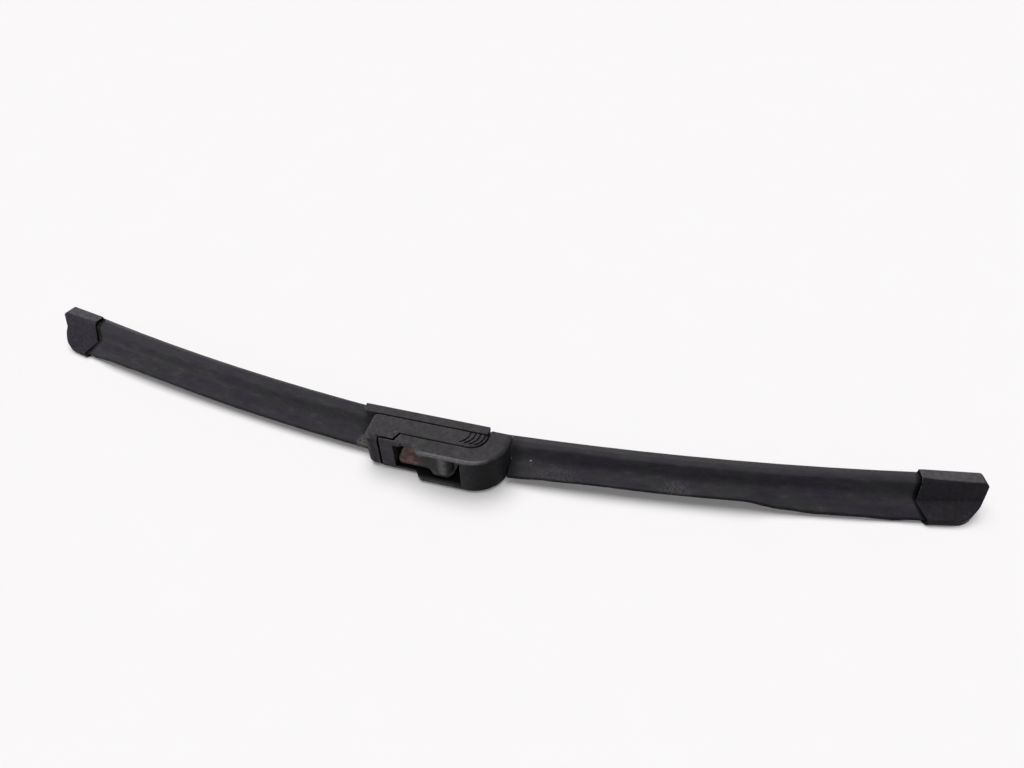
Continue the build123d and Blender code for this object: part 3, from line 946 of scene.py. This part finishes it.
@dataclass
class Spoiler(WornPiece):
    """A spoiler in short stations: its fin's edge is also lifted and its wall drawn up to the connector."""

    fin_line: FinLine
    close_up: float
    station: float = 2.0 * MM
    fin_foot: float = 4.2 * MM
    fin_edge: float = 11.9 * MM
    wall_front: float = 4.2 * MM
    wall_fade: float = 0.6 * MM

    def moved(self, x: float, ridge: float, z: float) -> Triple:
        """Adds the fin's lift and the wall's end to the crest's set.

        Args:
            x: the point's place along the blade.
            ridge: its height towards the ridge.
            z: its height over the table.

        Returns:
            Its whole move towards the arm's tip, towards the ridge, and up.
        """
        along, out, up = super().moved(x, ridge, z)
        fin = min(max((ridge - self.fin_foot) / (self.fin_edge - self.fin_foot), 0.0), 1.0)
        end = 1.0 - eased((abs(x) - self.finish.start) / self.station)
        wall = eased((self.wall_front - ridge) / self.wall_fade)
        return along - self.close_up * end * wall, out, up + fin * self.fin_line.at(x)

    def cut(self, shape: bmesh.types.BMesh) -> None:
        """Cuts the copy into stations along the blade.

        Args:
            shape: the copy.
        """
        low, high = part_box(self.node)
        count = round((high.x - low.x) / self.station)
        for number in range(1, count):
            bmesh.ops.bisect_plane(
                shape,
                geom=shape.verts[:] + shape.edges[:] + shape.faces[:],
                plane_co=(low.x + (high.x - low.x) * number / count, 0.0, 0.0),
                plane_no=(1.0, 0.0, 0.0),
            )


@dataclass
class EndCap(WornPiece):
    """A moulded cap: its crease is fuller and lower than the spoiler's, and its fin's end is drawn in."""

    mouth: float
    length: float
    crease: tuple[float, float] = (4.9 * MM, 8.2 * MM)
    crease_reach: float = 5.0 * MM
    crease_fill: float = 1.6
    crease_out: float = 0.7 * MM
    crease_down: float = 1.3 * MM
    fin_foot: float = 4.0 * MM
    fin_foot_run: float = 2.5 * MM
    fin_edge: float = 13.4 * MM
    fin_edge_run: float = 4.5 * MM
    end_in: float = 1.4 * MM
    end_from: float = 0.5
    end_run: float = 0.4

    def moved(self, x: float, ridge: float, z: float) -> Triple:
        """Adds the crease and the fin's end to the crest's set.

        Args:
            x: the point's place along the blade.
            ridge: its height towards the ridge.
            z: its height over the table.

        Returns:
            Its whole move towards the arm's tip, towards the ridge, and up.
        """
        along, out, up = super().moved(x, ridge, z)
        reached = (abs(x) - self.mouth) / self.length
        away = math.hypot(ridge - self.crease[0], z - self.crease[1])
        crease = eased(self.crease_fill * (1.0 - away / self.crease_reach)) * (1.0 - eased(reached))
        fin = eased((ridge - self.fin_foot) / self.fin_foot_run)
        fin *= eased((self.fin_edge - ridge) / self.fin_edge_run)
        along -= self.end_in * fin * eased((reached - self.end_from) / self.end_run)
        return along, out + crease * self.crease_out, up - crease * self.crease_down


@dataclass
class Connector:
    """The moulded connector with its steel bracket, pin and bush."""

    plastic: MouldedPlastic
    bush: MouldedPlastic
    bracket: RustedSteel
    pin: DrawnSteel

    def build(self) -> None:
        """Dresses each piece."""
        plastic = self.plastic.build()
        for node in ("connector_base", "connector_housing", "connector_cover"):
            dress(node, plastic)
        dress("pivot_bush", self.bush.build())
        dress("connector_bracket", self.bracket.build())
        dress("pivot_pin", self.pin.build())


@dataclass
class Backbone:
    """The rails with their clips, and the wiping rubber between them."""

    steel: DrawnSteel
    rubber: LipRubber

    def build(self) -> None:
        """Dresses each piece."""
        steel = self.steel.build()
        for node in ("flexor_rail_leading", "flexor_rail_trailing", "rail_clip_left", "rail_clip_right"):
            dress(node, steel)
        dress("wiper_rubber", self.rubber.build())


@dataclass(frozen=True)
class Lamp:
    """A far soft lamp, given by where it stands and how brightly it lights a face turned to it."""

    name: str
    towards: Triple
    level: float
    spread: float
    casts_shadow: bool = True

    def build(self) -> bpy.types.Object:
        """Hangs the lamp.

        Returns:
            The new lamp.
        """
        data = bpy.data.lights.new(self.name, "SUN")
        data.use_shadow = self.casts_shadow
        data.energy = self.level * math.pi
        data.angle = self.spread
        lamp = bpy.data.objects.new(self.name, data)
        lamp.rotation_euler = Vector(self.towards).to_track_quat("Z", "Y").to_euler()
        bpy.context.scene.collection.objects.link(lamp)
        return lamp


@dataclass(frozen=True)
class ViewPoint:
    """The camera's place, turn and lens."""

    place: Triple = (81.7 * MM, -180.7 * MM, 238.1 * MM)
    yaw: float = math.radians(14.88)
    pitch: float = math.radians(45.02)
    roll: float = math.radians(-0.13)
    lens: float = 23.38
    nearest: float = 10.0 * MM

    def build(self) -> bpy.types.Object:
        """Sets the camera up and makes it the scene's.

        Returns:
            The new camera.
        """
        data = bpy.data.cameras.new("view_point")
        data.lens = self.lens
        data.clip_start = self.nearest
        camera = bpy.data.objects.new("view_point", data)
        turn = Matrix.Rotation(self.yaw, 4, "Z") @ Matrix.Rotation(math.pi / 2 - self.pitch, 4, "X")
        camera.matrix_world = Matrix.Translation(self.place) @ turn @ Matrix.Rotation(self.roll, 4, "Z")
        bpy.context.scene.collection.objects.link(camera)
        bpy.context.scene.camera = camera
        return camera


@dataclass
class Stage:
    """A white table under soft light from above, with a low fill from the left, seen from the wind side."""

    lamps: tuple[Lamp, ...]
    view_point: ViewPoint
    table_colour: Colour = (0.945, 0.930, 0.938)
    table_bounce: Colour = (0.14, 0.137, 0.14)
    table_mottle: Pattern = Pattern.even(30 * MM)
    table_swing: float = 0.01
    table_roughness: float = 0.9
    table_half: float = 4.0
    table_drop: float = 0.05 * MM
    sky: Colour = (0.99, 0.985, 0.99)
    sky_light: float = 0.08

    def seen(self, sheet: Sheet) -> Value:
        """Tells what the camera sees straight, in a reflection or through glass.

        Args:
            sheet: the sheet of the table or of the world.

        Returns:
            1 for what is seen, and 0 for what only throws light.
        """
        path = sheet.node("ShaderNodeLightPath")
        kinds = ("Is Camera Ray", "Is Glossy Ray", "Is Transmission Ray")
        camera, glossy, through = (Value(sheet, path.outputs[kind]) for kind in kinds)
        return sheet.math("MAXIMUM", sheet.math("MAXIMUM", camera, glossy), through)

    def table(self) -> bpy.types.Object:
        """Lays the table, which looks whiter than the light it throws back.

        Returns:
            The new table.
        """
        material, sheet = new_material("white_table")
        mottle = sheet.noise(sheet.place(), self.table_mottle)
        colour = sheet.blend(self.seen(sheet), self.table_bounce, self.table_colour)
        sheet.surface(
            {
                "Base Color": sheet.dimmed(colour, 1.0 + mottle.swung(self.table_swing)),
                "Roughness": self.table_roughness,
                "Specular IOR Level": 0.0,
            }
        )
        shape = bmesh.new()
        bmesh.ops.create_grid(shape, x_segments=1, y_segments=1, size=self.table_half)
        for vert in shape.verts:
            vert.co.z = -self.table_drop
        mesh = bpy.data.meshes.new("white_table")
        shape.to_mesh(mesh)
        shape.free()
        mesh.materials.append(material)
        table = bpy.data.objects.new("white_table", mesh)
        bpy.context.scene.collection.objects.link(table)
        return table

    def light_sky(self) -> None:
        """Makes a white surround that lights the blade only softly."""
        world = bpy.data.worlds.new("studio")
        world.use_nodes = True
        sheet = Sheet(world.node_tree)
        strength = self.seen(sheet).lit_from(self.sky_light)
        shade = sheet.node("ShaderNodeBackground", inputs={"Color": (*self.sky, 1.0), "Strength": strength})
        sheet.node("ShaderNodeOutputWorld", inputs={"Surface": shade.outputs["Background"]})
        bpy.context.scene.world = world

    def build(self) -> None:
        """Sets table, light and camera."""
        self.light_sky()
        self.table()
        self.view_point.build()
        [lamp.build() for lamp in self.lamps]
        bpy.context.scene.view_settings.view_transform = "Standard"
        LOG.info("stage: %d lamps", len(self.lamps))


LEFT_ARM = Arm(Side.LEFT, 1280 * MM)
RIGHT_ARM = Arm(Side.RIGHT, 1345 * MM)
LEFT_MOUTH = 194.8 * MM
RIGHT_MOUTH = 202.0 * MM

LEFT_FIN = FinLine(
    (
        (-197 * MM, 0.0),
        (-180 * MM, 2.1 * MM),
        (-155 * MM, 2.8 * MM),
        (-94 * MM, 2.1 * MM),
        (-30 * MM, 1.8 * MM),
    )
)
RIGHT_FIN = FinLine(
    (
        (36 * MM, 2.0 * MM),
        (52 * MM, 3.6 * MM),
        (74 * MM, 4.6 * MM),
        (95 * MM, 4.4 * MM),
        (132 * MM, 4.8 * MM),
        (151 * MM, 1.5 * MM),
        (163 * MM, 0.2 * MM),
        (180 * MM, 0.2 * MM),
        (196 * MM, -0.8 * MM),
        (203 * MM, 0.0),
    )
)
SPOILER_SET = CrestSet(13.6 * MM, 16.2 * MM, 1.1 * MM, 0.75 * MM)
CAP_SET = CrestSet(13.4 * MM, 17.2 * MM, 0.6 * MM, 0.7 * MM)

LEFT_SCUFFS = (
    Scuff(-34 * MM, 5.0 * MM, 4.0 * MM, 2.2 * MM, 0.20),
    Scuff(-124 * MM, 10.4 * MM, 8.0 * MM, 2.5 * MM, 0.06),
)
RIGHT_SCUFFS = (
    Scuff(42.9 * MM, 7.8 * MM, 0.8 * MM, 0.7 * MM, 0.80),
    Scuff(56 * MM, 6.4 * MM, 14.0 * MM, 1.6 * MM, 0.045),
    Scuff(106 * MM, 6.8 * MM, 9.0 * MM, 1.1 * MM, 0.10),
)
# The left arm's wall tone above 1 is painted light on its wall.
LEFT_RUBBER = SpoilerRubber(
    "spoiler_rubber_left",
    LEFT_ARM,
    wall_light_tone=1.05,
    crest_share=0.10,
    start=32.0 * MM,
    mouth=LEFT_MOUTH,
    mouth_shadow_width=3.0 * MM,
    scuffs=LEFT_SCUFFS,
)
RIGHT_RUBBER = SpoilerRubber(
    "spoiler_rubber_right",
    RIGHT_ARM,
    wall_light_tone=1.0,
    crest_share=0.35,
    start=34.1 * MM,
    mouth=RIGHT_MOUTH,
    mouth_shadow_width=2.2 * MM,
    scuffs=RIGHT_SCUFFS,
)
LEFT_CAP_PLASTIC = MouldedPlastic(
    "cap_plastic_left",
    colour=(0.0315, 0.0272, 0.0375),
    faded=(0.0315, 0.0295, 0.0350),
    worn=(0.16, 0.15, 0.16),
    roll=0.9 * MM,
    gap_shade_tone=0.7,
    pocket_shade_tone=0.9,
    rubbed_highlight_way=CROWN_WAY,
    rubbed_highlight_above=14.0 * MM,
    rubbed_highlight_share=0.30,
    gloss=0.25,
    specular=0.01,
)
RIGHT_CAP_PLASTIC = MouldedPlastic(
    "cap_plastic_right",
    colour=(0.0155, 0.0135, 0.0180),
    faded=(0.0165, 0.0150, 0.0170),
    worn=(0.12, 0.115, 0.12),
    roll=0.9 * MM,
    rubbed_highlight_way=CROWN_WAY,
    rubbed_highlight_above=14.0 * MM,
    rubbed_highlight_share=0.28,
    gloss=0.7,
)
# The connector's dark ends and its dark window floor are painted shade.
CONNECTOR_PLASTIC = MouldedPlastic(
    "connector_plastic",
    colour=(0.0465, 0.0412, 0.0495),
    faded=(0.0455, 0.0440, 0.0440),
    worn=(0.15, 0.145, 0.15),
    rubbed_highlight_from=-5.0 * MM,
    rubbed_highlight_front=-13.0 * MM,
    rubbed_highlight_share=0.28,
    gloss=0.75,
    dark_after=9.0 * MM,
    dark_before=-22.6 * MM,
    before_tone=0.40,
    floor_below=4.0 * MM,
    floor_front=-20.2 * MM,
)
# The bush's darker left side is painted shade.
BUSH_PLASTIC = MouldedPlastic(
    "bush_plastic",
    colour=(0.275, 0.261, 0.282),
    faded=(0.280, 0.274, 0.274),
    worn=(0.28, 0.27, 0.28),
    dark_before=10.0 * MM,
    before_run=6.0 * MM,
    before_tone=0.15,
    pocket_shade_tone=0.6,
    specular=0.0,
)
PIN_STEEL = DrawnSteel("pin_steel", (0.40, 0.40, 0.41), lines=Pattern((0.4 * MM, 0.4 * MM, 0.1 * MM)))
SPRING_STEEL = DrawnSteel("spring_steel", (0.05, 0.05, 0.055))

LAMPS = (
    Lamp("overhead", (-0.15, 0.17, 1.0), level=0.80, spread=math.radians(55)),
    Lamp("fill", (-0.86, -0.50, 0.18), level=0.85, spread=math.radians(30), casts_shadow=False),
)


def main() -> None:
    """Dresses the blade and sets the stage."""
    logging.basicConfig(level=logging.INFO, format="%(name)s %(message)s")
    Spoiler(
        "spoiler_left", "spoiler_rubber", LEFT_ARM, LEFT_RUBBER, SPOILER_SET, LEFT_FIN, close_up=0.0
    ).build()
    Spoiler(
        "spoiler_right", "spoiler_rubber", RIGHT_ARM, RIGHT_RUBBER, SPOILER_SET, RIGHT_FIN, close_up=0.4 * MM
    ).build()
    EndCap(
        "end_cap_left", "cap_plastic", LEFT_ARM, LEFT_CAP_PLASTIC, CAP_SET, LEFT_MOUTH, length=25.1 * MM
    ).build()
    EndCap(
        "end_cap_right", "cap_plastic", RIGHT_ARM, RIGHT_CAP_PLASTIC, CAP_SET, RIGHT_MOUTH, length=28.6 * MM
    ).build()
    Connector(CONNECTOR_PLASTIC, BUSH_PLASTIC, RustedSteel("rusted_steel"), PIN_STEEL).build()
    Backbone(SPRING_STEEL, LipRubber("lip_rubber")).build()
    Stage(LAMPS, ViewPoint()).build()


if __name__ == "__main__":
    main()
